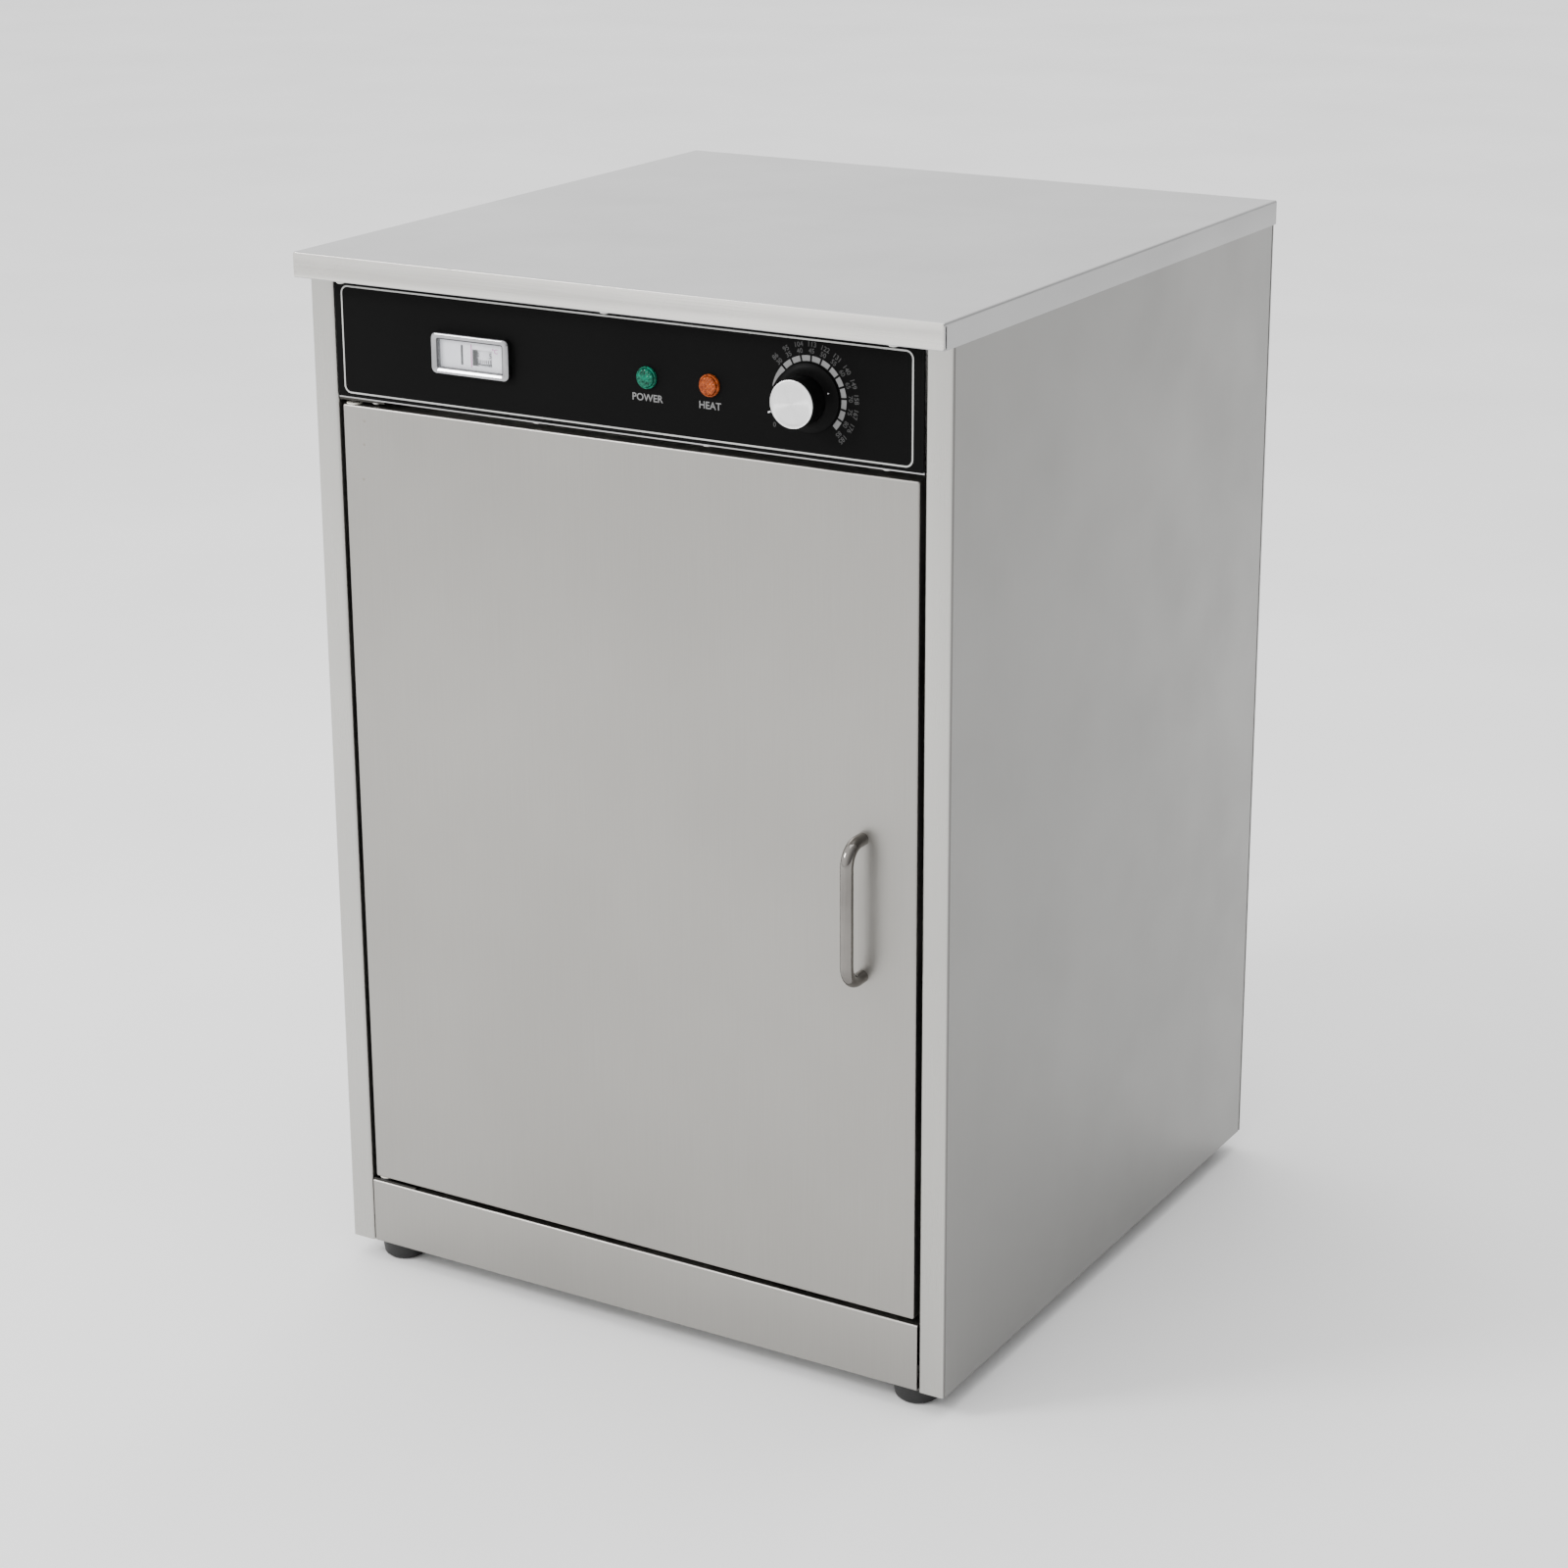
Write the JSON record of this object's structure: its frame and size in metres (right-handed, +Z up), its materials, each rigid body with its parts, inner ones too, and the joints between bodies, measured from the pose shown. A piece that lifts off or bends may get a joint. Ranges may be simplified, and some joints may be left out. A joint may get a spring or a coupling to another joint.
{
  "type": "proofing cabinet",
  "caption": "Countertop dough proofing cabinet: insulated stainless body on moulded feet, hinged front door with a D handle, black control fascia with thermometer, lamps and thermostat knob.",
  "frame": {"origin": "centre of the overall footprint, at the surface the feet stand on", "axes": "+X to the right of someone facing the door, -Y out through the door, +Z up"},
  "size_m": [0.5, 0.5426, 0.7555],
  "materials": {
    "stainless": "fine brushed",
    "liner_steel": "cold rolled satin",
    "black_overlay": "satin black",
    "screw_steel": "bright",
    "foot_rubber": "moulded matt",
    "mineral_wool": "fibrous slab",
    "shelf_wire": "bright plated wire",
    "element_sheath": "heat darkened",
    "copper_bulb": "drawn",
    "clip_nylon": "natural nylon",
    "black_plastic": "moulded",
    "bezel_plastic": "silver plated plastic",
    "clear_lens": "clear",
    "scale_white": "printed white",
    "green_lens": "faceted translucent",
    "amber_lens": "faceted translucent",
    "terminal_plastic": "moulded",
    "catch_black": "moulded",
    "gasket_rubber": "soft",
    "handle_steel": "polished round rod",
    "knob_plastic": "moulded",
    "knob_aluminium": "spun face"
  },
  "bodies": {
    "cabinet": {"side_panel_left": "stainless", "side_panel_right": "stainless", "rear_panel": "stainless", "base_pan": "stainless", "worktop": "stainless", "control_fascia": "stainless", "plinth": "stainless", "door_frame": "liner_steel", "chamber_side_walls": "liner_steel", "chamber_wall_rear": "liner_steel", "chamber_floor": "liner_steel", "chamber_ceiling": "liner_steel", "control_tray": "liner_steel", "shelf_ledges": "liner_steel", "water_pan": "liner_steel", "fascia_overlay": "black_overlay", "body_screws": "screw_steel", "foot_screws": "screw_steel", "thermostat_screws": "screw_steel", "hinge_bracket_upper": "screw_steel", "hinge_bracket_lower": "screw_steel", "thermometer_spindle": "screw_steel", "element_nuts": "screw_steel", "feet": "foot_rubber", "insulation_sides": "mineral_wool", "insulation_rear": "mineral_wool", "insulation_roof": "mineral_wool", "wire_shelf_1": "shelf_wire", "wire_shelf_2": "shelf_wire", "wire_shelf_3": "shelf_wire", "heating_element": "element_sheath", "sensing_bulbs": "copper_bulb", "bulb_clips": "clip_nylon", "hinge_washer": "clip_nylon", "thermostat": "black_plastic", "thermometer_housing": "black_plastic", "pilot_barrels": "black_plastic", "pilot_nuts": "black_plastic", "cable_gland": "black_plastic", "gland_locknut": "black_plastic", "thermometer_bezel": "bezel_plastic", "thermometer_lens": "clear_lens", "thermometer_face": "scale_white", "pilot_lens_green": "green_lens", "pilot_lens_amber": "amber_lens", "terminal_block": "terminal_plastic", "catch_magnet": "catch_black"},
    "door": {"door_skin": "stainless", "door_liner": "liner_steel", "catch_striker": "liner_steel", "door_insulation": "mineral_wool", "door_edge_screws": "screw_steel", "handle_screws": "screw_steel", "door_gasket": "gasket_rubber", "door_handle": "handle_steel", "hinge_bushes": "clip_nylon"},
    "knob": {"knob_body": "knob_plastic", "knob_cap": "knob_aluminium", "thermostat_shaft": "screw_steel"},
    "scale_drum": {"thermometer_drum": "scale_white"}
  },
  "joints": [
    {"name": "door_hinge", "type": "hinge", "parent": "cabinet", "child": "door", "pos_m": [-0.219, -0.23975, 0.35928], "axis": [0, 0, -1], "range_deg": [0, 110]},
    {"name": "knob_turn", "type": "hinge", "parent": "cabinet", "child": "knob", "pos_m": [0.1455, -0.24635, 0.6948], "axis": [0, 1, 0], "range_deg": [-190, 63]},
    {"name": "scale_drum_turn", "type": "hinge", "parent": "cabinet", "child": "scale_drum", "pos_m": [-0.1058, -0.23495, 0.6948], "axis": [0, 0, 1], "range_deg": [-120, 120]}
  ]
}
